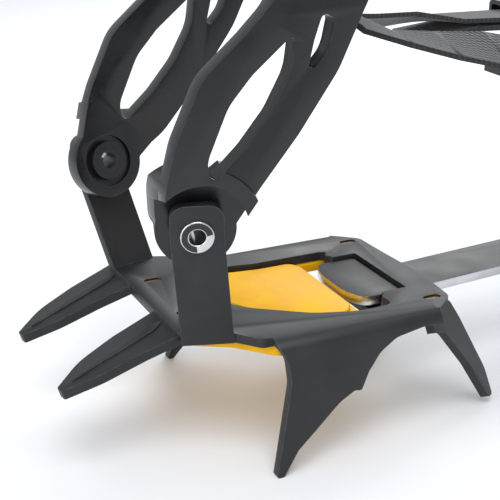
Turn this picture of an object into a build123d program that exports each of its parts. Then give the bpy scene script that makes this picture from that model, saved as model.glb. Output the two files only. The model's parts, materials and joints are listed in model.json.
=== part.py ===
from build123d import *
import os
from math import cos, radians, sin, tan

# One strap-on crampon for a left boot. Millimetres. +X points to the toe, +Y to the wearer's left,
# +Z up. The origin is on the sole face of the front plate, in the middle of its cross member.

# ---- driving dimensions
sheet = 3.0                 # crampon steel
plastic = 5.5               # harness arm thickness
point_drop = 39.3           # sole face down to the main point tips
toe_line = -10.0            # the toe end is set over to the big-toe side
post_width = 15.5
# each toe post: foot out from the toe line, toe-in and lean in degrees, rivet centre above the sole face
left_post = {"foot": 32.4, "toe_in": 18.0, "lean_out": 5.0, "lean_forward": 5.0, "rivet": 32.5}
right_post = {"foot": 33.0, "toe_in": 12.0, "lean_out": 14.0, "lean_forward": 11.0, "rivet": 35.5}
rail_half_width = 36.5      # front plate, fold to bar centre line
front_length = 78.0         # cross member to the rear edge of the front plate
slot_back = 69.0            # cross member to the bar's slot
flange_splay = 12.0         # degrees
bar_width = 20.0
bar_thickness = 3.0
bar_length = 190.0          # behind the slot
bar_bend = 5.0              # degrees, in plan
head_width = 31.0
head_length = 17.0
bar_flex = 4.0              # degrees each way that the bar rocks in its slot
adjust_travel = 30.0        # heel section, each way
hole_pitch = adjust_travel / 3
heel_back = 170.0           # slot to the middle of the heel plate
heel_length = 74.0
heel_width = 66.0
heel_post_gap = 78.0
heel_rivet_height = 34.0
rivet_bore = 4.8
rivet_wall = 0.8
rivet_flange = 9.8
boss_radius = 11.8
strap_width = 20.0
strap_thickness = 1.6
strap_rivet_radius = 2.3
strap_rivet_head = 4.2
ring_wire = 2.6
harness_top = 104.0         # toe cage, crown above the sole face
cage_line = -12.25          # middle of the toe cage
cage_half = 38.25           # middle to the outer face of each arm
head_rise = 3.0             # the bar's T head stands this much higher than its strip

# ---- fits
running = 0.35              # plastic to steel, and the bar in its guides
press_gap = 0.1
rock_gap = 1.3              # room above and below the bar for its rocking
post_clearance = 1.9        # post to harness boss, taken up by a domed spacer
strap_gap = 0.3             # webbing to what it lies against
rivet_gap = 0.15            # strap rivet in its hole
lap_gap = 0.8               # between the two layers of webbing
ring_room = 1.7             # inside the rings and the keeper, round both layers


def profile(corners):
    """Closed face through (x, y, corner radius) points. A radius gives way where its sides are short."""
    count = len(corners)
    spots = [Vector(c[0], c[1]) for c in corners]
    starts, middles, ends = [], [], []
    for i, spot in enumerate(spots):
        back, ahead = spots[i - 1] - spot, spots[(i + 1) % count] - spot
        half_turn = radians(180 - back.get_angle(ahead)) / 2
        radius = corners[i][2] if len(corners[i]) > 2 else 0
        setback = min(radius * tan(half_turn), 0.47 * back.length, 0.47 * ahead.length)
        if setback < 0.02:
            starts.append(spot)
            middles.append(None)
            ends.append(spot)
            continue
        reach = setback / tan(half_turn) * (1 / cos(half_turn) - 1)
        starts.append(spot + back.normalized() * setback)
        middles.append(spot + (back.normalized() + ahead.normalized()).normalized() * reach)
        ends.append(spot + ahead.normalized() * setback)
    edges = []
    for i in range(count):
        if middles[i]:
            edges.append(ThreePointArc(starts[i], middles[i], ends[i]))
        edges.append(Line(ends[i], starts[(i + 1) % count]))
    return make_face(edges)


def slab(corners, low, high):
    return Pos(0, 0, low) * extrude(profile(corners), amount=high - low)


def box(x, y, z):
    """Box from three (low, high) spans."""
    size = [b - a for a, b in (x, y, z)]
    middle = [(a + b) / 2 for a, b in (x, y, z)]
    return Pos(*middle) * Box(*size)


def across(shape, line=0.0):
    """The same shape on the other side of the plane y = line."""
    copies = [solid.mirror(Plane.XZ.offset(-line)) for solid in shape.solids()]
    return copies[0] if len(copies) == 1 else Compound(children=copies)


parts = {}

# ---------------------------------------------------------------- front plate
bar_low = -sheet - rock_gap - bar_thickness
bar_high = bar_low + bar_thickness
web_top = bar_low - head_length * tan(radians(bar_flex)) - 0.5
opening = [
    (-5, toe_line + 4, 6), (-17, 9.7, 12), (-33, 21.5, 20), (-46, 26, 20), (-59, 26, 6),
    (-58.5, 19.5, 2), (-60.5, 17.5, 2), (-60.5, -17.5, 2), (-58.5, -19.5, 2), (-62.5, -20.5, 3),
    (-59, -22.5, 3), (-34, -22.5, 14), (-17, -25.5, 12), (-5, toe_line - 7, 6),
]
rail_edge = rail_half_width - 5.0
frame_edge = [
    (10, -38.2, 1), (10, 16.2, 1.5), (8.6, 18, 0), (8.2, 19.6, 0), (-4.9, 24, 0), (-11, rail_edge, 2), (-front_length + 9, rail_edge, 0),
    (-front_length + 9, rail_half_width - 0.8, 3), (-front_length, 28, 4), (-front_length - 1.8, 10, 25),
    (-front_length - 0.5, -14, 20), (-front_length, -28, 4), (-front_length + 9, -rail_half_width + 0.8, 3),
    (-front_length + 9, -rail_edge, 0), (-24, -rail_edge, 8), (-11, -41, 8), (-4.7, -43.8, 0),
    (9.2, -41, 0), (9.2, -39.6, 0),
]
steel = slab(frame_edge, -sheet, 0) - slab(opening, -2 * sheet, sheet)

# front points: two tapering blades that droop from the cross member
droop = 17.0
blade = [(-3, -6), (0, -3, 3), (18, 0.5, 20), (31, 5, 20), (40.5, 13, 1), (40, 16, 1), (28, 17.5, 20),
         (14, 17, 20), (2, 17.5, 3), (-3, 19)]
blade_plane = Plane(origin=(7.5, 0, 0), x_dir=(cos(radians(droop)), 0, -sin(radians(droop))),
                    z_dir=(sin(radians(droop)), 0, cos(radians(droop))))
near_blade = blade_plane * extrude(profile(blade), amount=-sheet) - box((-5, 60), (-20, 30), (0, 5))
blade_spread = 41.5
rib = [(3.6, 6.5, 0), (7, 5, 1), (36, 13.2, 1), (36, 14.2, 1), (7, 9, 1)]
near_blade += blade_plane * extrude(profile(rib), amount=0.7)
far_blade = Pos(0, -blade_spread, 0) * near_blade - box((-5, 10), (-60, -42.5), (-10, 5))
steel += near_blade + far_blade

# toe posts, bent up from the cross member's ends
foot_forward = 2.4
post_crown = post_width * 0.6
barrel_radius = rivet_bore / 2 + rivet_wall


def toe_post(foot, toe_in, lean_out, lean_forward, rivet):
    """A post on the wearer's left, and where its rivet's outer face lies."""
    rise = rivet + sheet
    shift = rise * tan(radians(lean_forward))
    turn, lean = radians(toe_in), radians(lean_out)
    plane = Plane(origin=(foot_forward, toe_line + foot, -sheet), x_dir=(-cos(turn), sin(turn), 0),
                  z_dir=(sin(turn) * cos(lean), cos(turn) * cos(lean), -sin(lean)))
    corners = [
        (post_width / 2, 0), (post_width / 2 - shift, rise),
        (post_width / 2 - shift, rise + post_crown, post_width * 0.46),
        (-post_width / 2 - shift, rise + post_crown, post_width * 0.46),
        (-post_width / 2 - shift, rise), (-post_width / 2, 0),
    ]
    at = plane * Pos(-shift, rise, 0)
    solid = plane * extrude(profile(corners), amount=-sheet)
    return solid - at * Cylinder(barrel_radius + press_gap / 2, 4 * sheet), at


left_solid, left_rivet_at = toe_post(**left_post)
right_solid, right_rivet_at = toe_post(**right_post)
steel += left_solid + across(right_solid, toe_line)

# side flanges with the main points: the rail folds over and splays outwards
splay = radians(flange_splay)
fold_out = (rail_half_width + point_drop * tan(splay), -point_drop)
skin = sheet / cos(splay)
fold_section = [
    (rail_edge - 3, 0), (rail_half_width, 0, 4.2), fold_out, (fold_out[0] - skin, fold_out[1]),
    (rail_half_width - sheet * 0.82, -sheet, 1.2), (rail_edge - 3, -sheet),
]
flange_side = [
    (-13.5, 1), (-14, -2, 2), (-16.3, -6, 6), (-16.6, -13, 10), (-9.4, -point_drop, 0.6),
    (-11.6, -point_drop, 0.6), (-17, -32.4, 0), (-23, -27.9, 8), (-32, -21, 8), (-37.4, -18.5, 1.5),
    (-39.6, -19, 1.2), (-42.6, -13.8, 6), (-47, -8.8, 8), (-53, -5.4, 8), (-63, -3.9, 8),
    (-front_length + 8, -4.4, 0), (-front_length + 8, 1),
]
fold = Pos(-front_length, 0, 0) * extrude(Plane.YZ * profile(fold_section), amount=front_length)
flange = fold & extrude(Plane.XZ * profile(flange_side), amount=100, both=True)

# rear points, bent down at the plate's rear corners
tooth_u = Vector(-12, -8, 0).normalized()
tooth_tip = Vector(-front_length - 15, 33.5, -36.5)
tooth_foot = Vector(-front_length + 12, rail_half_width - 0.6, -1.2)
tooth_normal = tooth_u.cross(tooth_tip - tooth_foot).normalized()
tooth_plane = Plane(origin=tooth_foot, x_dir=tooth_u, z_dir=tooth_normal)
tip_local = tooth_plane.to_local_coords(tooth_tip)
tooth = [(0, 0, 0), (14.4, 0, 3), (18, 0.2 * tip_local.Y, 8), (tip_local.X + 1.6, 0.75 * tip_local.Y, 10),
         (tip_local.X + 1.8, tip_local.Y, 1), (tip_local.X - 1, tip_local.Y, 1),
         (tip_local.X - 8, 0.6 * tip_local.Y, 14), (6, 0.2 * tip_local.Y, 6), (0, 0.16 * tip_local.Y, 0)]
inward = -sheet if tooth_normal.Y > 0 else sheet
rear_tooth = tooth_plane * extrude(profile(tooth), amount=inward)

for side_piece in (flange, rear_tooth):
    steel += side_piece + across(side_piece)

# the bridge: a pressed-down web in front of the slot, its side walls, and the lugs that stop the T head
wall_in = head_width / 2 + 0.8
web = box((-slot_back + 1, -60.3), (-wall_in - 2, wall_in + 2), (web_top - sheet, web_top))
for side in (-1, 1):
    wall = profile([(wall_in, web_top - sheet), (wall_in + 3.5, web_top - sheet + 1.5, 3),
                    (wall_in + 5, 0), (wall_in + 1.5, 0, 1.5), (wall_in, -2.5, 2)])
    wall = Pos(-slot_back - 3.5, 0, 0) * extrude(Plane.YZ * wall, amount=12.2)
    web += wall if side > 0 else across(wall)
    lug = box((-slot_back - 3.5, -slot_back - 0.5), (bar_width / 2 + 1.2, wall_in + 1), (web_top - sheet, -1))
    web += lug if side > 0 else across(lug)
steel = steel - box((-slot_back - 0.4, -60), (-wall_in, wall_in), (-sheet - 1, 1)) + web

# holes for the pegs of the yellow plate
peg_length = 5.6
peg_width = 2.4
front_pegs = [(-front_length + 5.5, 26.5), (-front_length + 5.5, -27), (2.0, toe_line + 14), (2.0, toe_line - 14)]
hole_slack = 0.2
for x, y in front_pegs:
    steel -= Pos(x, y, 0) * extrude(SlotOverall(peg_length + 2 * hole_slack, peg_width + 2 * hole_slack),
                                    amount=2 * sheet, both=True)
parts["front_plate"] = steel

# ---------------------------------------------------------------- yellow plate under the front section
under_gap = 0.3
inset = 4.6
yellow_edge = [
    (5, -36, 4), (5, 14, 4), (-6, 20.5, 4), (-16, rail_half_width - inset, 4),
    (-front_length + 10, rail_half_width - inset, 4), (-front_length + 5, 20, 4),
    (-front_length + 5, -20, 4), (-front_length + 10, -rail_half_width + inset, 4),
    (-16, -rail_half_width + inset, 4), (-5, -41, 4),
]
yellow_top = -sheet - under_gap
yellow = slab(yellow_edge, yellow_top - 3.4, yellow_top)
channel = wall_in + 5.6
yellow -= box((-front_length - 1, head_length - slot_back + 1.8), (-channel, channel), (-20, 1))
panel = [(-8, toe_line + 1, 4), (-18, 7.6, 10), (-33, 18.8, 16), (-44, 23.4, 10), (-48, 18, 2),
         (-48, -16, 2), (-46, -20, 6), (-34, -20, 10), (-18, -22.4, 10), (-8, toe_line - 5, 4)]
yellow += slab(panel, yellow_top - 1, -1.0)
parts["front_antiball_plate"] = yellow

pegs = []
for x, y in front_pegs:
    stem = Pos(x, y, yellow_top) * extrude(SlotOverall(peg_length, peg_width), amount=sheet + under_gap - 0.6)
    pegs.append(stem)
parts["front_antiball_pegs"] = Compound(children=pegs)

# ---------------------------------------------------------------- toe rivets, spacers, caps
cap_thickness = 1.4
cap_gap = 0.9
counterbore = 1.6
boss_out = sheet + post_clearance
boss_in = boss_out + plastic
barrel_end = boss_in + cap_gap + cap_thickness - counterbore
flange_height = 1.0


def ring(outer, inner, low, high):
    """Ring on the local Z axis between two heights."""
    solid = Cylinder(outer, high - low) - Cylinder(inner, 3 * (high - low))
    return Pos(0, 0, (low + high) / 2) * solid


def hollow_rivet():
    """Outer face at local z = 0, barrel running to -z."""
    head = ring(rivet_flange / 2, rivet_bore / 2, 0, flange_height)
    head = fillet(head.edges().filter_by(GeomType.CIRCLE).group_by(Axis.Z)[-1], 0.35)
    barrel = ring(barrel_radius, rivet_bore / 2, -barrel_end, 0)
    return head + barrel


parts["toe_rivet_left"] = left_rivet_at * hollow_rivet()
parts["toe_rivet_right"] = across(right_rivet_at * hollow_rivet(), toe_line)
cap = ring(6.0, barrel_radius, -barrel_end, -barrel_end + cap_thickness)
spacer = ring(4.6, barrel_radius + press_gap / 2, -sheet - post_clearance + 0.7, -sheet)
parts["toe_rivet_caps"] = Compound(children=[left_rivet_at * cap, across(right_rivet_at * cap, toe_line)])
parts["toe_spacers"] = Compound(children=[left_rivet_at * spacer, across(right_rivet_at * spacer, toe_line)])

# ---------------------------------------------------------------- toe harness
crown = 11.0


def arch(half, top, thickness, crown_radius, foot, back, front):
    """Inverted U of constant thickness, its profile in YZ, running along X."""
    outer = [(-half, foot), (half, foot), (half, top, crown_radius), (-half, top, crown_radius)]
    inner_half = half - thickness
    inner = [(-inner_half, foot - 1), (inner_half, foot - 1),
             (inner_half, top - thickness, crown_radius - thickness),
             (-inner_half, top - thickness, crown_radius - thickness)]
    shell = Plane.YZ * (profile(outer) - profile(inner))
    return Pos(back, 0, 0) * extrude(shell, amount=front - back)




def disc(radius, low, high):
    """Solid disc on the local Z axis between two heights."""
    return Pos(0, 0, (low + high) / 2) * Cylinder(radius, high - low)


def arm_outline(pivot):
    """Side view of one arm and its half of the crown, round the pivot of that arm."""
    return [
        (pivot.X - 8, pivot.Z - 3, 8), (pivot.X + 11.5, pivot.Z - 3, 8), (16.4, pivot.Z + 13, 20),
        (12.8, 60, 20), (5, 77, 16), (-7.8, 88, 16), (-17, 97, 16), (-23, harness_top + 2, 0),
        (-52, harness_top + 2, 0), (-44.5, 92, 20), (-37, 76, 30), (-24.5, 58.6, 30), (-11.4, 43, 20),
    ]


window_big = [(2.5, 47, 4), (3.6, 54, 8), (-2.9, 69, 16), (-10, 77, 16), (-23.4, 88, 1.2), (-22, 77, 16),
              (-15.9, 66, 16), (-8, 56.6, 16)]
window_back = [(-26.5, 74, 1.2), (-29, 85, 10), (-31.6, 92.5, 2), (-35.5, 91, 2), (-33.6, 82, 10)]
cheek_out = 3.0             # the cheek round a boss reaches this far out past the boss, to meet the arm
arm_foot = 26
shell = Pos(0, cage_line, 0) * arch(cage_half, harness_top, plastic, crown, arm_foot, -58, 24)
boss_hole = barrel_radius + 1.0
post_room = boss_radius + 3.5
halves = []
for side, at in ((1, left_rivet_at), (-1, right_rivet_at)):
    pivot = (at * Pos(0, 0, -boss_out - plastic / 2)).position
    arm = extrude(Plane.XZ * profile(arm_outline(pivot)), amount=-80)
    cheek = at * disc(boss_radius + 8, -boss_in, -boss_out + cheek_out) & arm
    boss = at * disc(boss_radius, -boss_in, -boss_out)
    holes = [at * disc(post_room, -boss_out, 12), at * disc(boss_radius + 2.5, -boss_in - 10, -boss_in)]
    bore = [at * disc(boss_hole, -boss_in - plastic, 0), at * Pos(0, 0, -boss_in) * Cylinder(8.2, 2 * counterbore)]
    half = Pos(0, toe_line, 0) * arm
    if side < 0:
        half, cheek, boss = [across(shape, toe_line) for shape in (half, cheek, boss)]
        holes = [across(shape, toe_line) for shape in holes]
        bore = [across(shape, toe_line) for shape in bore]
    half = (shell & half) + cheek
    for shape in holes:
        half -= shape
    half += boss
    for shape in bore:
        half -= shape
    halves.append(half)
cage = halves[0] + halves[1]
for window in (window_big, window_back):
    cage -= extrude(Plane.XZ * profile(window), amount=80, both=True)
parts["toe_harness"] = cage

# ---------------------------------------------------------------- linking bar
slot_at = Pos(-slot_back, 0, 0)
hole_radius = 2.5
head_edge = [
    (0, -head_width / 2, 2), (head_length - 3, -head_width / 2, 4), (head_length, -head_width / 4, 20),
    (head_length, head_width / 4, 20), (head_length - 3, head_width / 2, 4), (0, head_width / 2, 2),
]
head = Pos(0.8, 0, 0) * slab(head_edge, bar_low + head_rise, bar_high + head_rise)
ramp = profile([(-2, bar_low), (0.9, bar_low), (0.9 + head_rise, bar_low + head_rise),
                (6, bar_low + head_rise), (6, bar_high + head_rise), (head_rise - 0.4, bar_high + head_rise),
                (-0.4, bar_high), (-2, bar_high)])
head += Pos(0, bar_width / 2, 0) * extrude(Plane.XZ * ramp, amount=bar_width)
neck = box((-6, -1), (-bar_width / 2, bar_width / 2), (bar_low, bar_high))
strip = slab([(0, -bar_width / 2), (0, bar_width / 2), (-bar_length, bar_width / 2, 6),
              (-bar_length, -bar_width / 2, 6)], bar_low, bar_high)
hole_count = 7
lock_back = heel_back + 9.0                 # slot to the lock pin
for step in range(hole_count):
    x = -lock_back + (step - hole_count // 2) * hole_pitch
    strip -= Pos(x, 0, 0) * Cylinder(hole_radius, 40)
bent = Pos(-4.5, 0, 0) * Rot(0, 0, bar_bend) * Pos(4.5, 0, 0)
parts["link_bar"] = slot_at * (head + neck + (bent * strip & box((-300, -4.5), (-90, 90), (-20, 5))))

# ---------------------------------------------------------------- heel section, in its own frame
heel_at = slot_at * bent * Pos(-heel_back, 0, 0)
half_long, half_wide = heel_length / 2, heel_width / 2
heel_rail = half_wide - 5.0
heel_plate = slab([(half_long, -20, 8), (half_long, 20, 8), (half_long - 9, heel_rail, 0),
                   (-half_long + 8, heel_rail, 0), (-half_long, 18, 14), (-half_long, -18, 14),
                   (-half_long + 8, -heel_rail, 0), (half_long - 9, -heel_rail, 0)], -sheet, 0)
heel_opening = [(24, -15, 6), (24, 15, 6), (10, 19, 8), (-14, 19, 8), (-25, 13, 6), (-25, -13, 6),
                (-14, -19, 8), (10, -19, 8)]
heel_plate -= slab(heel_opening, -2 * sheet, sheet)
heel_fold_out = (half_wide + point_drop * tan(splay), -point_drop)
heel_section = [
    (heel_rail - 3, 0), (half_wide, 0, 4.2), heel_fold_out, (heel_fold_out[0] - skin, heel_fold_out[1]),
    (half_wide - sheet * 0.82, -sheet, 1.2), (heel_rail - 3, -sheet),
]
heel_side = [
    (half_long - 9, 1), (half_long - 9, -4, 0), (34, -14, 8), (33.5, -point_drop, 0.6),
    (31.3, -point_drop, 0.6), (20, -19, 10), (8, -7.5, 10), (-7, -7.5, 10), (-20, -19, 10),
    (-35.5, -point_drop, 0.6), (-37.5, -point_drop, 0.6), (-36, -14, 8), (-half_long + 8, -4, 0),
    (-half_long + 8, 1),
]
heel_fold = Pos(-50, 0, 0) * extrude(Plane.YZ * profile(heel_section), amount=100)
heel_flange = heel_fold & extrude(Plane.XZ * profile(heel_side), amount=100, both=True)
heel_plate += heel_flange + across(heel_flange)

# heel posts, bent up from short ears
ear_reach = heel_post_gap / 2
ear = box((-8, 8), (heel_rail - 2, ear_reach), (-sheet, 0))
heel_post_side = [
    (8, -sheet), (8, heel_rivet_height), (8, heel_rivet_height + 9, 7),
    (-8, heel_rivet_height + 9, 7), (-8, heel_rivet_height), (-8, -sheet),
]
heel_post = Pos(0, ear_reach, 0) * extrude(Plane.XZ * profile(heel_post_side), amount=sheet)
heel_rivet_at = Pos(0, ear_reach, heel_rivet_height) * Rot(-90, 0, 0)
heel_post -= heel_rivet_at * Cylinder(barrel_radius + press_gap / 2, 4 * sheet)
heel_plate += ear + heel_post + across(ear) + across(heel_post)

# guides that carry the heel plate on the bar
guide_floor = bar_low - running
for x in ((26, 34), (-35, -27)):
    guide = box(x, (-bar_width / 2 - 3.4, bar_width / 2 + 3.4), (guide_floor - 2.5, -sheet + 0.5))
    guide -= box((x[0] - 1, x[1] + 1), (-bar_width / 2 - running, bar_width / 2 + running),
                 (guide_floor, bar_high + running))
    heel_plate += guide

# lock lever bearings at the opening's front edge
lever_pin_x, lever_pin_z = 14.0, -1.6
lever_half = 6.5
pin_radius = 1.0
for side in (-1, 1):
    ear_span = sorted((side * (lever_half + 0.5), side * (lever_half + 3)))
    bearing = box((lever_pin_x - 3, 26), ear_span, (-sheet, 0))
    heel_plate += bearing
heel_plate -= Pos(lever_pin_x, 0, lever_pin_z) * Rot(90, 0, 0) * Cylinder(pin_radius + press_gap / 4, 19.6)
heel_pegs_at = [(29.5, 18.5), (29.5, -18.5), (-30.5, 17), (-30.5, -17)]
for x, y in heel_pegs_at:
    heel_plate -= Pos(x, y, 0) * extrude(SlotOverall(peg_length + 2 * hole_slack, peg_width + 2 * hole_slack),
                                         amount=2 * sheet, both=True)
parts["heel_plate"] = heel_at * heel_plate

lock_pin_x = heel_back - lock_back
lever = slab([(lever_pin_x - 2.5, -lever_half), (lever_pin_x - 2.5, lever_half), (-19, 5, 2), (-21, 3, 2),
              (-21, -3, 2), (-19, -5, 2)], -1.9, -0.7)
knuckle = Pos(lever_pin_x, 0, lever_pin_z) * Rot(90, 0, 0) * Cylinder(1.55, 2 * lever_half)
lever = lever + knuckle - Pos(lever_pin_x, 0, lever_pin_z) * Rot(90, 0, 0) * Cylinder(pin_radius + 0.05, 30)
lever += box((lever_pin_x - 3.2, lever_pin_x - 1.2), (-lever_half, lever_half), (-1.9, -0.7))
lever -= Pos(lever_pin_x, 0, lever_pin_z) * Rot(90, 0, 0) * Cylinder(pin_radius + 0.05, 30)
lever -= Pos(lock_pin_x, 0, 0) * Cylinder(1.5, 20)
parts["lock_lever"] = heel_at * lever
pin_head = Pos(lock_pin_x, 0, -1.3) * Cylinder(1.45, 1.2)
pin_stem = Pos(lock_pin_x, 0, (bar_low - 2.1) / 2) * Cylinder(2.0, -1.9 - bar_low + 0.2)
parts["lock_pin"] = heel_at * (pin_head + pin_stem)
lever_axis_at = Pos(lever_pin_x, 0, lever_pin_z) * Rot(90, 0, 0)
parts["lock_hinge_pin"] = heel_at * lever_axis_at * Cylinder(pin_radius, 18)
coil = []
for step in range(3):
    coil.append(heel_at * Pos(lever_pin_x + 0.0, lever_half + 3.6 + 0.7 * step, lever_pin_z) * Rot(90, 0, 0)
                * ring(1.5, pin_radius + 0.05, -0.25, 0.25))
parts["lock_spring"] = Compound(children=coil)

heel_yellow = slab([(half_long - 3, -20, 3), (half_long - 3, 20, 3), (half_long - 12, heel_rail - 2, 3),
                    (-half_long + 11, heel_rail - 2, 3), (-half_long + 2, 18, 3), (-half_long + 2, -18, 3),
                    (-half_long + 11, -heel_rail + 2, 3), (half_long - 12, -heel_rail + 2, 3)],
                   yellow_top - 2.6, yellow_top)
track = bar_width / 2 + 4.2
heel_yellow -= box((-60, 60), (-track, track), (-20, 0))
parts["heel_antiball_plate"] = heel_at * heel_yellow
pegs = []
for x, y in heel_pegs_at:
    stem = Pos(x, y, yellow_top) * extrude(SlotOverall(peg_length, peg_width), amount=sheet + under_gap - 0.6)
    pegs.append(heel_at * stem)
parts["heel_antiball_pegs"] = Compound(children=pegs)

heel_rivet = heel_rivet_at * hollow_rivet()
heel_cap = heel_rivet_at * cap
heel_spacer = heel_rivet_at * spacer
parts["heel_rivet_left"] = heel_at * heel_rivet
parts["heel_rivet_right"] = heel_at * across(heel_rivet)
parts["heel_rivet_caps"] = Compound(children=[heel_at * heel_cap, heel_at * across(heel_cap)])
parts["heel_spacers"] = Compound(children=[heel_at * heel_spacer, heel_at * across(heel_spacer)])

# ---------------------------------------------------------------- heel cup
cup_out = ear_reach - boss_out
cup_plan = [(12, -cup_out), (12, cup_out), (-68, cup_out, 30), (-68, -cup_out, 30)]
cup_in = cup_out - plastic
cup_hollow = [(14, -cup_in), (14, cup_in), (-68 + plastic, cup_in, 25), (-68 + plastic, -cup_in, 25)]
cup = slab(cup_plan, 20, 100) - slab(cup_hollow, 10, 110)
cup_side = [(10, 26, 6), (11, 40, 6), (4, 50, 10), (-16, 64, 14), (-40, 76, 14), (-60, 84, 10), (-80, 84),
            (-80, 46), (-46, 48, 20), (-24, 38, 16), (-9, 24, 8)]
cup_window = [(-33, 53, 4), (-36, 63, 6), (-52, 71, 4), (-54, 60, 4), (-44, 55, 8)]
cup = cup & extrude(Plane.XZ * profile(cup_side), amount=80, both=True)
cup -= extrude(Plane.XZ * profile(cup_window), amount=80, both=True)
for side in (1, -1):
    bore_cut = heel_rivet_at * Pos(0, 0, -boss_out - plastic / 2) * Cylinder(boss_hole, 3 * plastic)
    boss = heel_rivet_at * ring(boss_radius, 0.01, -boss_in, -boss_out)
    recess = heel_rivet_at * Pos(0, 0, -boss_in) * Cylinder(8.2, 2 * counterbore)
    if side < 0:
        bore_cut, boss, recess = [across(s) for s in (bore_cut, boss, recess)]
    cup = cup + boss - bore_cut - recess
parts["heel_harness"] = heel_at * cup

# ---------------------------------------------------------------- straps
def ribbon(stations):
    """Webbing through (x, y, z, roll) stations: roll 0 lies flat, 90 stands on edge."""
    spots = [Vector(*station[:3]) for station in stations]
    sections = []
    for i, spot in enumerate(spots):
        ahead = (spots[min(i + 1, len(spots) - 1)] - spots[max(i - 1, 0)]).normalized()
        level = Vector(0, 0, 1).cross(ahead).normalized()
        width_way = level.rotate(Axis((0, 0, 0), ahead), stations[i][3])
        plane = Plane(origin=spot, x_dir=width_way, z_dir=ahead)
        sections.append(plane * Rectangle(strap_width, strap_thickness))
    return loft(sections, ruled=True)


def strap_rivet(low, high):
    """Solid rivet on the local Z axis between two faces, with a flat head at each end."""
    head_height = 1.2
    shape = Pos(0, 0, (low + high) / 2) * Cylinder(strap_rivet_radius, high - low)
    for z in (low - head_height / 2, high + head_height / 2):
        shape += Pos(0, 0, z) * Cylinder(strap_rivet_head, head_height)
    return shape


def strap_loop(inner_wide, inner_high, wall, length):
    """Rectangular loop round a flat strap, its own length along X."""
    corner = wall * 1.3
    outer = Rectangle(inner_wide + 2 * wall, inner_high + 2 * wall)
    outer = fillet(outer.vertices(), corner)
    inner = fillet(Rectangle(inner_wide, inner_high).vertices(), corner / 2)
    return extrude(Plane.YZ * (outer - inner), amount=length / 2, both=True)


# the front straps hang from the crown's underside, lie flat and turn a little on their way back
crown_low = harness_top - plastic
under_crown = crown_low - rivet_gap - strap_thickness / 2
strap_line = strap_width / 2 + 1            # middle of the cage to the middle of each strap
lap_out = 19.3                              # further out again where the layers overlap
crown_rivet_x = -33.0
lap_x = -152.0                              # middle of the stretch where the two layers overlap
lap_slope = 0.04
lap_top = 71.2                              # upper layer at lap_x
layer = strap_thickness + lap_gap


def lap_height(x):
    return lap_top + (x - lap_x) * lap_slope


def front_route(side):
    """Stations from the crown to behind the rings; the left strap is side 1."""
    start = toe_line + side * strap_line
    spread = [(-26, 0, under_crown, 0), (-41, 0, under_crown, 0), (-47.5, 4, 91, 0), (-53.5, 9, 84.5, 0),
              (-65, 12.5, 80, 0), (-80, 15, 77, 10), (-97, 17, 74.3, 20), (-118, 19, lap_height(-118), 4),
              (-182, 20, lap_height(-182), 0)]
    return [(x, start + side * out, z, side * roll) for x, out, z, roll in spread]


tab_x = -103.5                              # end tab on the free end, under the left front strap
tab_droop = 3.0
heel_strap_x, heel_strap_z = -23.5, 57.0    # rivet on the cup, in the heel's own frame
cup_face = cup_out + strap_gap + strap_thickness / 2


def rear_route(side):
    """Stations from the free end, under the front strap, to the heel cup."""
    lap_y = toe_line + side * (strap_line + lap_out)
    free_end = (tab_x + 1.5, lap_y, lap_height(tab_x) - layer - tab_droop, 0)
    lower = [free_end, (-124, lap_y, lap_height(-124) - layer, 0), (-186, lap_y, lap_height(-186) - layer, 0)]
    at_cup = (heel_at * Pos(-2, side * cup_face, 58.4)).position
    behind = (heel_at * Pos(heel_strap_x - 7, side * cup_face, 56.6)).position
    twist_from = Vector(*lower[-1][:3])
    turning = []
    for share in (0.2, 0.4, 0.6, 0.8):
        spot = twist_from + (at_cup - twist_from) * share
        turning.append((*spot, side * 90 * share))
    return lower + turning + [(*at_cup, side * 90), (*behind, side * 90)]


for route in (front_route(1), rear_route(1), rear_route(-1)):
    spots = [Vector(*station[:3]) for station in route]
    length = sum((spots[i + 1] - spots[i]).length for i in range(len(spots) - 1))
    share = ribbon(route).volume / (strap_width * strap_thickness * length)
    print("webbing length", round(length, 1), "volume against section times length", round(share, 3))

toe_rivets, heel_rivets = [], []
for side, hand in ((1, "left"), (-1, "right")):
    front, rear = ribbon(front_route(side)), ribbon(rear_route(side))
    crown_rivet_at = Pos(crown_rivet_x, toe_line + side * strap_line, 0)
    cup_rivet_at = Pos(heel_strap_x, side * cup_out, heel_strap_z) * Rot(-90 * side, 0, 0)
    hole = Cylinder(strap_rivet_radius + rivet_gap, 60)
    under_strap = under_crown - strap_thickness / 2
    toe_rivets.append(crown_rivet_at * strap_rivet(under_strap - rivet_gap, harness_top + rivet_gap))
    parts["toe_harness"] -= crown_rivet_at * Pos(0, 0, harness_top) * Cylinder(
        strap_rivet_radius + rivet_gap, 4 * plastic)
    parts[f"strap_front_{hand}"] = front - crown_rivet_at * Pos(0, 0, under_crown) * hole
    heel_rivets.append(heel_at * cup_rivet_at
                       * strap_rivet(-plastic - rivet_gap, strap_gap + strap_thickness + rivet_gap))
    parts["heel_harness"] -= heel_at * cup_rivet_at * Cylinder(strap_rivet_radius + rivet_gap, 4 * plastic)
    parts[f"strap_rear_{hand}"] = rear - heel_at * cup_rivet_at * Cylinder(
        strap_rivet_radius + rivet_gap, 4 * plastic)
parts["toe_strap_rivets"] = Compound(children=toe_rivets)
parts["heel_strap_rivets"] = Compound(children=heel_rivets)

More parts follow.
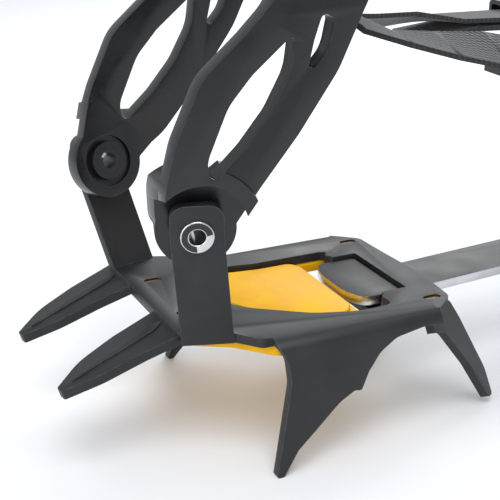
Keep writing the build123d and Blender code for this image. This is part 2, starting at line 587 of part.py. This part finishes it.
# double ring on the left lap, keeper on the right one, end tab on the free end under the left strap
lap_left = toe_line + strap_line + lap_out
lap_right = toe_line - strap_line - lap_out
lap_room = (strap_width + 3 * ring_room, 2 * strap_thickness + lap_gap + 2 * ring_room)
ring_step = 3.6
for name, x in (("buckle_ring_front", lap_x + ring_step), ("buckle_ring_back", lap_x - ring_step)):
    parts[name] = Pos(x, lap_left, lap_height(x) - layer / 2) * strap_loop(*lap_room, ring_wire, ring_wire)
parts["strap_keeper"] = Pos(lap_x, lap_right, lap_height(lap_x) - layer / 2) * strap_loop(*lap_room, 1.6, 11)
tab = Pos(tab_x, lap_left, lap_height(tab_x) - layer - tab_droop) * Box(9, strap_width + 1.6, 3.2)
parts["strap_end_tab"] = tab - parts["strap_rear_left"]

for name, shape in parts.items():
    solids = shape.solids()
    print(name, len(solids), round(sum(solid.volume for solid in solids)))

os.makedirs("parts", exist_ok=True)
for name, shape in parts.items():
    export_step(shape, f"parts/{name}.step")
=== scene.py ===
import json
import math
import bpy
import bmesh
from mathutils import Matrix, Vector


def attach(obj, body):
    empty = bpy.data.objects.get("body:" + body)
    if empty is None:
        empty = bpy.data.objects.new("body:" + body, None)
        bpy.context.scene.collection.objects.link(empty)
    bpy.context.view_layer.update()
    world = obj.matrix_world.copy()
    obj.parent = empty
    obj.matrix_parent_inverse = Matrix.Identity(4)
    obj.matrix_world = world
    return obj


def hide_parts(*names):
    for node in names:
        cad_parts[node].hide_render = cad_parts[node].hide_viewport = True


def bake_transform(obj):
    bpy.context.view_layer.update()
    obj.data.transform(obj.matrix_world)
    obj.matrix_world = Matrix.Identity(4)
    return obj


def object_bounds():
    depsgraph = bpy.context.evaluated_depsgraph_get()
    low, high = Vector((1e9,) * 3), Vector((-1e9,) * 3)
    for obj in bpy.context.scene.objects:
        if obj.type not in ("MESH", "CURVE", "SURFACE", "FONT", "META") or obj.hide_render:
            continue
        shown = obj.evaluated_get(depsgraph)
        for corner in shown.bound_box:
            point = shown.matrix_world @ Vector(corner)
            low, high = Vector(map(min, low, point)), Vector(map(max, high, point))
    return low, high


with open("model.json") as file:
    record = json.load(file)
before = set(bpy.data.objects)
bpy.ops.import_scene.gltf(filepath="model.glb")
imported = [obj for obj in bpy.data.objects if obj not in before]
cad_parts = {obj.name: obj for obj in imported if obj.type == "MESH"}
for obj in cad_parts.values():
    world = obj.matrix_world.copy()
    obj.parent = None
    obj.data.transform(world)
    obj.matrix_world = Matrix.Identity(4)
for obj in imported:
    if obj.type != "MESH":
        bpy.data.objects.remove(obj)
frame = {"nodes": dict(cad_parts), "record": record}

mm = 0.001
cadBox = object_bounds()
scene = bpy.context.scene
nodes = frame["nodes"]
bodyOf = {node: body for body, members in frame["record"]["behaviour"]["bodies"].items() for node in members}
mounts = {mount["name"]: mount for mount in frame["record"]["mounts"]}
soleMiddle = Vector(mounts["front_sole_face"]["pos_m"])
print("stage: frame loaded")


# camera, from the toe end and the wearer's left
shot = {
    "azimuth": 154.56,
    "elevation": 21.45,
    "lens": 87.43,
    "distance": 0.36,
    "aim": Vector((-14.1, 16.0, 21.9)) * mm,       # from the sole face's middle
}


def makeCamera():
    data = bpy.data.cameras.new("shotCamera")
    data.lens = shot["lens"]
    data.sensor_width = 36
    data.clip_start = 0.01
    camera = bpy.data.objects.new("shotCamera", data)
    scene.collection.objects.link(camera)
    turn = math.radians(shot["azimuth"])
    rise = math.radians(shot["elevation"])
    back = Vector((math.sin(turn) * math.cos(rise), -math.cos(turn) * math.cos(rise), math.sin(rise)))
    camera.location = soleMiddle + shot["aim"] + back * shot["distance"]
    camera.rotation_mode = "QUATERNION"
    camera.rotation_quaternion = (-back).to_track_quat("-Z", "Y")
    scene.camera = camera


makeCamera()


# shared shader effects
def newGroup(name, ins, outs):
    group = bpy.data.node_groups.new(name, "ShaderNodeTree")
    for label, kind, value in ins:
        socket = group.interface.new_socket(label, in_out="INPUT", socket_type=kind)
        socket.default_value = value
    for label, kind in outs:
        group.interface.new_socket(label, in_out="OUTPUT", socket_type=kind)
    return group, group.nodes.new("NodeGroupInput"), group.nodes.new("NodeGroupOutput")


def link(tree, source, target):
    tree.links.new(source, target)


def ranged(tree, source, low, high, outLow, outHigh):
    node = tree.nodes.new("ShaderNodeMapRange")
    node.inputs["From Min"].default_value = low
    node.inputs["From Max"].default_value = high
    node.inputs["To Min"].default_value = outLow
    node.inputs["To Max"].default_value = outHigh
    link(tree, source, node.inputs["Value"])
    return node.outputs["Result"]


def noise(tree, coords, scale, detail=3.0):
    node = tree.nodes.new("ShaderNodeTexNoise")
    node.inputs["Scale"].default_value = scale
    node.inputs["Detail"].default_value = detail
    link(tree, coords, node.inputs["Vector"])
    return node.outputs["Fac"]


grainLook = {"detail": 4, "cloudScale": 90, "bumpDepth": 0.0002}
wearLook = {"samples": 6, "edge": (0.995, 0.9), "patchScale": 420, "patchDetail": 5, "patch": (0.42, 0.62),
            "least": 0.15}


def makeGrain():
    group, ins, outs = newGroup(
        "surfaceGrain",
        [("Coords", "NodeSocketVector", (0, 0, 0)), ("Size", "NodeSocketFloat", 2500.0)],
        [("Fine", "NodeSocketFloat"), ("Cloud", "NodeSocketFloat")])
    fine = group.nodes.new("ShaderNodeTexNoise")
    fine.inputs["Detail"].default_value = grainLook["detail"]
    link(group, ins.outputs["Coords"], fine.inputs["Vector"])
    link(group, ins.outputs["Size"], fine.inputs["Scale"])
    link(group, fine.outputs["Fac"], outs.inputs["Fine"])
    link(group, noise(group, ins.outputs["Coords"], grainLook["cloudScale"]), outs.inputs["Cloud"])
    return group


def makeWear():
    group, ins, outs = newGroup(
        "edgeWear",
        [("Coords", "NodeSocketVector", (0, 0, 0)), ("Width", "NodeSocketFloat", 0.0006)],
        [("Mask", "NodeSocketFloat")])
    rounded = group.nodes.new("ShaderNodeBevel")
    rounded.samples = wearLook["samples"]
    link(group, ins.outputs["Width"], rounded.inputs["Radius"])
    flat = group.nodes.new("ShaderNodeNewGeometry")
    dot = group.nodes.new("ShaderNodeVectorMath")
    dot.operation = "DOT_PRODUCT"
    link(group, rounded.outputs["Normal"], dot.inputs[0])
    link(group, flat.outputs["Normal"], dot.inputs[1])
    edge = ranged(group, dot.outputs["Value"], *wearLook["edge"], 0.0, 1.0)
    patches = noise(group, ins.outputs["Coords"], wearLook["patchScale"], wearLook["patchDetail"])
    patchy = ranged(group, patches, *wearLook["patch"], wearLook["least"], 1.0)
    both = group.nodes.new("ShaderNodeMath")
    both.operation = "MULTIPLY"
    link(group, edge, both.inputs[0])
    link(group, patchy, both.inputs[1])
    link(group, both.outputs["Value"], outs.inputs["Mask"])
    return group


grainGroup = makeGrain()
wearGroup = makeWear()


def startMaterial(name):
    material = bpy.data.materials.new(name)
    material.use_nodes = True
    tree = material.node_tree
    shader = tree.nodes["Principled BSDF"]
    coords = tree.nodes.new("ShaderNodeTexCoord")
    return material, tree, shader, coords.outputs["Object"]


def useGroup(tree, group, coords, **values):
    node = tree.nodes.new("ShaderNodeGroup")
    node.node_tree = group
    link(tree, coords, node.inputs["Coords"])
    for label, value in values.items():
        node.inputs[label].default_value = value
    return node


def mixColour(tree, mask, first, second):
    node = tree.nodes.new("ShaderNodeMix")
    node.data_type = "RGBA"
    link(tree, mask, node.inputs[0])
    for socket, value in ((node.inputs[6], first), (node.inputs[7], second)):
        if isinstance(value, tuple):
            socket.default_value = (*value, 1)
        else:
            link(tree, value, socket)
    return node.outputs[2]


def addBump(tree, shader, height, strength, distance):
    bump = tree.nodes.new("ShaderNodeBump")
    bump.inputs["Strength"].default_value = strength
    bump.inputs["Distance"].default_value = distance
    link(tree, height, bump.inputs["Height"])
    link(tree, bump.outputs["Normal"], shader.inputs["Normal"])


# finishes
finishes = {
    "coatedSteel": {"dark": (0.013, 0.0132, 0.014), "light": (0.021, 0.0215, 0.023),
                    "worn": (0.085, 0.085, 0.09),
                    "rough": (0.42, 0.55), "metal": 0.2, "grain": 3200, "bump": 0.16, "wear": 0.0005},
    "mouldedBlack": {"dark": (0.0065, 0.0065, 0.007), "light": (0.011, 0.011, 0.012),
                     "worn": (0.04, 0.04, 0.042),
                     "rough": (0.22, 0.34), "metal": 0.0, "grain": 1800, "bump": 0.06, "wear": 0.0004},
    "mouldedYellow": {"dark": (0.82, 0.40, 0.0), "light": (0.90, 0.50, 0.0), "worn": (0.95, 0.62, 0.04),
                      "rough": (0.42, 0.58), "metal": 0.0, "grain": 1200, "bump": 0.05, "wear": 0.0004,
                      "shine": 0.2},
    "brightSteel": {"dark": (0.50, 0.51, 0.52), "light": (0.72, 0.73, 0.74), "worn": (0.85, 0.85, 0.86),
                    "rough": (0.18, 0.34), "metal": 1.0, "grain": 2600, "bump": 0.08, "wear": 0.0003},
    # the pegs' yellow plastic darkened to amber: painted shade for pegs sitting in shadow
    "paintedShadeAmber": {"dark": (0.10, 0.045, 0.0), "light": (0.16, 0.075, 0.0), "worn": (0.3, 0.15, 0.01),
                    "rough": (0.35, 0.5), "metal": 0.0, "grain": 1200, "bump": 0.05, "wear": 0.0004},
}


def surface(name):
    look = finishes[name]
    material, tree, shader, coords = startMaterial(name)
    grain = useGroup(tree, grainGroup, coords, Size=look["grain"])
    wear = useGroup(tree, wearGroup, coords, Width=look["wear"])
    cloud = ranged(tree, grain.outputs["Cloud"], 0.3, 0.7, 0.0, 1.0)
    base = mixColour(tree, cloud, look["dark"], look["light"])
    link(tree, mixColour(tree, wear.outputs["Mask"], base, look["worn"]), shader.inputs["Base Color"])
    link(tree, ranged(tree, grain.outputs["Cloud"], 0.25, 0.75, *look["rough"]), shader.inputs["Roughness"])
    shader.inputs["Metallic"].default_value = look["metal"]
    shader.inputs["Specular IOR Level"].default_value = look.get("shine", 0.5)
    addBump(tree, shader, grain.outputs["Fine"], look["bump"], grainLook["bumpDepth"])
    return material


coatedSteel, mouldedBlack, mouldedYellow, brightSteel, paintedShadeAmber = [surface(name) for name in finishes]


webLook = {
    "ribs": 11, "row": 0.0019, "slice": 0.003,      # ribs across, metres per row, metres per slice
    "slant": 0.5, "dark": (0.004, 0.004, 0.0045), "light": (0.03, 0.03, 0.032),
    "rough": 0.82, "sheen": 0.25, "bump": 0.8, "bumpDepth": 0.0004,
}


def makeWebbing():
    material, tree, shader, _ = startMaterial("blackWebbing")
    uv = tree.nodes.new("ShaderNodeUVMap")
    uv.uv_map = "weave"
    places = tree.nodes.new("ShaderNodeSeparateXYZ")
    link(tree, uv.outputs["UV"], places.inputs["Vector"])
    slanted = tree.nodes.new("ShaderNodeMath")      # u runs in weft rows, v in warp ribs
    slanted.operation = "MULTIPLY_ADD"
    slanted.inputs[1].default_value = webLook["slant"]
    link(tree, places.outputs["Y"], slanted.inputs[0])
    link(tree, places.outputs["X"], slanted.inputs[2])
    waves = []
    for source in (slanted.outputs["Value"], places.outputs["Y"]):
        turn = tree.nodes.new("ShaderNodeMath")
        turn.operation = "MULTIPLY"
        turn.inputs[1].default_value = 2 * math.pi
        link(tree, source, turn.inputs[0])
        sine = tree.nodes.new("ShaderNodeMath")
        sine.operation = "SINE"
        link(tree, turn.outputs["Value"], sine.inputs[0])
        waves.append(ranged(tree, sine.outputs["Value"], -1, 1, 0, 1))
    weave = tree.nodes.new("ShaderNodeMath")
    weave.operation = "MULTIPLY"
    link(tree, waves[0], weave.inputs[0])
    link(tree, waves[1], weave.inputs[1])
    link(tree, mixColour(tree, weave.outputs["Value"], webLook["dark"], webLook["light"]),
         shader.inputs["Base Color"])
    shader.inputs["Roughness"].default_value = webLook["rough"]
    shader.inputs["Sheen Weight"].default_value = webLook["sheen"]
    addBump(tree, shader, weave.outputs["Value"], webLook["bump"], webLook["bumpDepth"])
    return material


webbing = makeWebbing()
print("stage: finishes made")


# pieces made from a CAD node's own shape, with its edges eased
weld = 0.01 * mm
flatAngle = math.radians(0.6)       # faces closer than this become one
sharpAngle = math.radians(28)       # edges past this are eased


def mergedCopy(nodeName):
    mesh = bmesh.new()
    mesh.from_mesh(nodes[nodeName].data)
    bmesh.ops.remove_doubles(mesh, verts=mesh.verts, dist=weld)
    bmesh.ops.dissolve_limit(mesh, angle_limit=flatAngle, verts=mesh.verts, edges=mesh.edges)
    return mesh


def sharpEdges(mesh):
    return [edge for edge in mesh.edges
            if len(edge.link_faces) == 2 and edge.calc_face_angle(0) > sharpAngle]


def ease(mesh, width, segments=2):
    bmesh.ops.bevel(mesh, geom=sharpEdges(mesh), offset=width, offset_type="OFFSET", segments=segments,
                    profile=0.5, affect="EDGES", material=-1, clamp_overlap=True)


def finishPiece(mesh, name, nodeName, slotName, *materials, smoothBelow=38):
    data = bpy.data.meshes.new(name)
    mesh.to_mesh(data)
    mesh.free()
    data.shade_smooth()
    data.set_sharp_from_angle(angle=math.radians(smoothBelow))
    for material in materials:
        data.materials.append(material)
    piece = bpy.data.objects.new(name, data)
    scene.collection.objects.link(piece)
    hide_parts(nodeName)
    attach(piece, bodyOf[nodeName])
    return piece


steelEasing = {"front_plate": 0.35, "heel_plate": 0.35, "link_bar": 0.3}     # mm


def makeSteel():
    for nodeName, width in steelEasing.items():
        mesh = mergedCopy(nodeName)
        for face in mesh.faces:
            onSide = nodeName == "link_bar" and abs(face.normal.z) < 0.5
            face.material_index = 1 if onSide else 0        # the bar's cut edges are bare
        ease(mesh, width * mm)
        finishPiece(mesh, f"{nodeName}_steel", nodeName, "steel", coatedSteel, brightSteel)


makeSteel()
print("stage: steel")


mouldingEasing = 1.1
mouldings = {"toe_harness": "toe_cage_moulding", "heel_harness": "heel_cup_moulding"}


def makeMouldings():
    for nodeName, name in mouldings.items():
        mesh = mergedCopy(nodeName)
        ease(mesh, mouldingEasing * mm, segments=3)
        finishPiece(mesh, name, nodeName, "black_plastic", mouldedBlack)


makeMouldings()
print("stage: mouldings")


yellowEasing = 0.5


def makeYellow():
    for nodeName in ("front_antiball_plate", "heel_antiball_plate"):
        mesh = mergedCopy(nodeName)
        ease(mesh, yellowEasing * mm)
        finishPiece(mesh, f"{nodeName}_moulding", nodeName, "yellow_plastic", mouldedYellow)


makeYellow()
print("stage: yellow plates")


rivets = {"toe_rivet_left": "toe_eyelet_left", "toe_rivet_right": "toe_eyelet_right",
          "heel_rivet_left": "heel_eyelet_left", "heel_rivet_right": "heel_eyelet_right"}


boreReach = 1.02         # faces within this share of the bore radius are its wall


def makeRivets():
    for nodeName, mountName in rivets.items():
        mount = mounts[mountName]
        middle, axis = Vector(mount["pos_m"]), Vector(mount["axis"]).normalized()
        bore = mount["dims"]["r_mm"] * mm * boreReach
        mesh = mergedCopy(nodeName)
        for face in mesh.faces:
            away = face.calc_center_median() - middle
            away -= axis * away.dot(axis)
            face.material_index = 1 if away.length < bore else 0      # the bore wall gets the black finish: painted shade inside the hole
        finishPiece(mesh, f"{nodeName}_shell", nodeName, "bright_steel", brightSteel, mouldedBlack)


makeRivets()
print("stage: rivets")


# webbing: the CAD ribbon cut into short slices, so that it carries its weave
straps = {
    "strap_front_left": {"bodies": ("toe_cage", "front_section"), "bend": (0.10, 0.55)},
    "strap_front_right": {"bodies": ("toe_cage", "front_section"), "bend": (0.10, 0.55)},
    "strap_rear_left": {"bodies": ("heel_cup", "heel_section"), "bend": (0.88, 0.52)},
    "strap_rear_right": {"bodies": ("heel_cup", "heel_section"), "bend": (0.88, 0.52)},
}                                       # bend: shares of the length where the bending starts and ends
onCut = 0.001 * mm
webbingSharp = math.radians(40)


def farthestPair(points):
    return max(((a, b) for a in points for b in points), key=lambda pair: (pair[0] - pair[1]).length)


def makeStrap(nodeName):
    mesh = bmesh.new()
    mesh.from_mesh(nodes[nodeName].data)
    bmesh.ops.remove_doubles(mesh, verts=mesh.verts, dist=weld)
    toe = max(vert.co.x for vert in mesh.verts)
    heel = min(vert.co.x for vert in mesh.verts)
    count = round((toe - heel) / webLook["slice"])
    stations = []
    for i in range(1, count):
        x = toe + (heel - toe) * i / count
        bmesh.ops.bisect_plane(mesh, geom=mesh.verts[:] + mesh.edges[:] + mesh.faces[:],
                               plane_co=(x, 0, 0), plane_no=(1, 0, 0))
        near = [vert.co.copy() for vert in mesh.verts if abs(vert.co.x - x) < onCut]
        first, last = farthestPair(near)
        across = (first - last).normalized()
        if stations and across.dot(stations[-1]["across"]) < 0:
            across = -across
        middle = (first + last) / 2
        run = stations[-1]["run"] + (middle - stations[-1]["middle"]).length if stations else 0.0
        stations.append({"middle": middle, "across": across, "run": run, "width": (first - last).length})
    weave = mesh.loops.layers.uv.new("weave")
    for face in mesh.faces:
        for loop in face.loops:
            place = (toe - loop.vert.co.x) / (toe - heel) * count - 1
            station = stations[min(max(round(place), 0), len(stations) - 1)]
            along = station["run"] + (place - round(place)) * webLook["slice"]
            side = (loop.vert.co - station["middle"]).dot(station["across"]) / station["width"]
            loop[weave].uv = (along / webLook["row"], side * webLook["ribs"])
    data = bpy.data.meshes.new(f"{nodeName}_webbing")
    mesh.to_mesh(data)
    mesh.free()
    data.shade_smooth()
    data.set_sharp_from_angle(angle=webbingSharp)
    data.materials.append(webbing)
    piece = bpy.data.objects.new(f"{nodeName}_webbing", data)
    scene.collection.objects.link(piece)
    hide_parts(nodeName)
    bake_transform(piece)


for nodeName, look in straps.items():
    makeStrap(nodeName)
print("stage: webbing")


# CAD nodes that keep their own shape
kept = {
    # the pegs take the darkened amber: painted shade, their plastic is yellow
    paintedShadeAmber: ["front_antiball_pegs", "heel_antiball_pegs"],
    brightSteel: ["lock_pin", "lock_hinge_pin", "lock_spring", "lock_lever", "toe_strap_rivets",
                  "heel_strap_rivets", "buckle_ring_front", "buckle_ring_back"],
    mouldedBlack: ["toe_rivet_caps", "heel_rivet_caps", "toe_spacers", "heel_spacers", "strap_keeper",
                   "strap_end_tab"],
}
for material, names in kept.items():
    for nodeName in names:
        nodes[nodeName].data.materials.clear()
        nodes[nodeName].data.materials.append(material)
print("stage: kept nodes")


# floor, sky and lamps
ground = {"size": 6, "colour": (0.76, 0.78, 0.81, 1), "rough": 0.9}
sky = {"colour": (0.93, 0.95, 0.985, 1), "strength": 0.66}


def makeStage():
    floor = bmesh.new()
    bmesh.ops.create_grid(floor, x_segments=1, y_segments=1, size=ground["size"])
    bmesh.ops.translate(floor, verts=floor.verts, vec=(0, 0, cadBox[0].z))
    data = bpy.data.meshes.new("floor")
    floor.to_mesh(data)
    floor.free()
    material = bpy.data.materials.new("paleFloor")
    material.use_nodes = True
    shader = material.node_tree.nodes["Principled BSDF"]
    shader.inputs["Base Color"].default_value = ground["colour"]
    shader.inputs["Roughness"].default_value = ground["rough"]
    data.materials.append(material)
    piece = bpy.data.objects.new("floor", data)
    scene.collection.objects.link(piece)
    world = bpy.data.worlds.new("paleSky")
    scene.world = world
    world.use_nodes = True
    world.node_tree.nodes["Background"].inputs["Color"].default_value = sky["colour"]
    world.node_tree.nodes["Background"].inputs["Strength"].default_value = sky["strength"]


lamps = {
    "keyLamp": {"from": Vector((0.10, 0.35, 0.75)), "size": 0.6, "watts": 4.2},
    "fillLamp": {"from": Vector((0.75, 0.15, 0.35)), "size": 0.7, "watts": 3.5},
    "rimLamp": {"from": Vector((-0.55, -0.5, 0.55)), "size": 0.5, "watts": 5},
}


def makeLamps():
    for name, lamp in lamps.items():
        data = bpy.data.lights.new(name, "AREA")
        data.size = lamp["size"]
        data.energy = lamp["watts"]
        piece = bpy.data.objects.new(name, data)
        scene.collection.objects.link(piece)
        piece.location = soleMiddle + lamp["from"]
        piece.rotation_euler = (-lamp["from"]).to_track_quat("-Z", "Y").to_euler()


makeStage()
makeLamps()
scene.view_settings.view_transform = "Standard"
print("stage: floor and lamps")
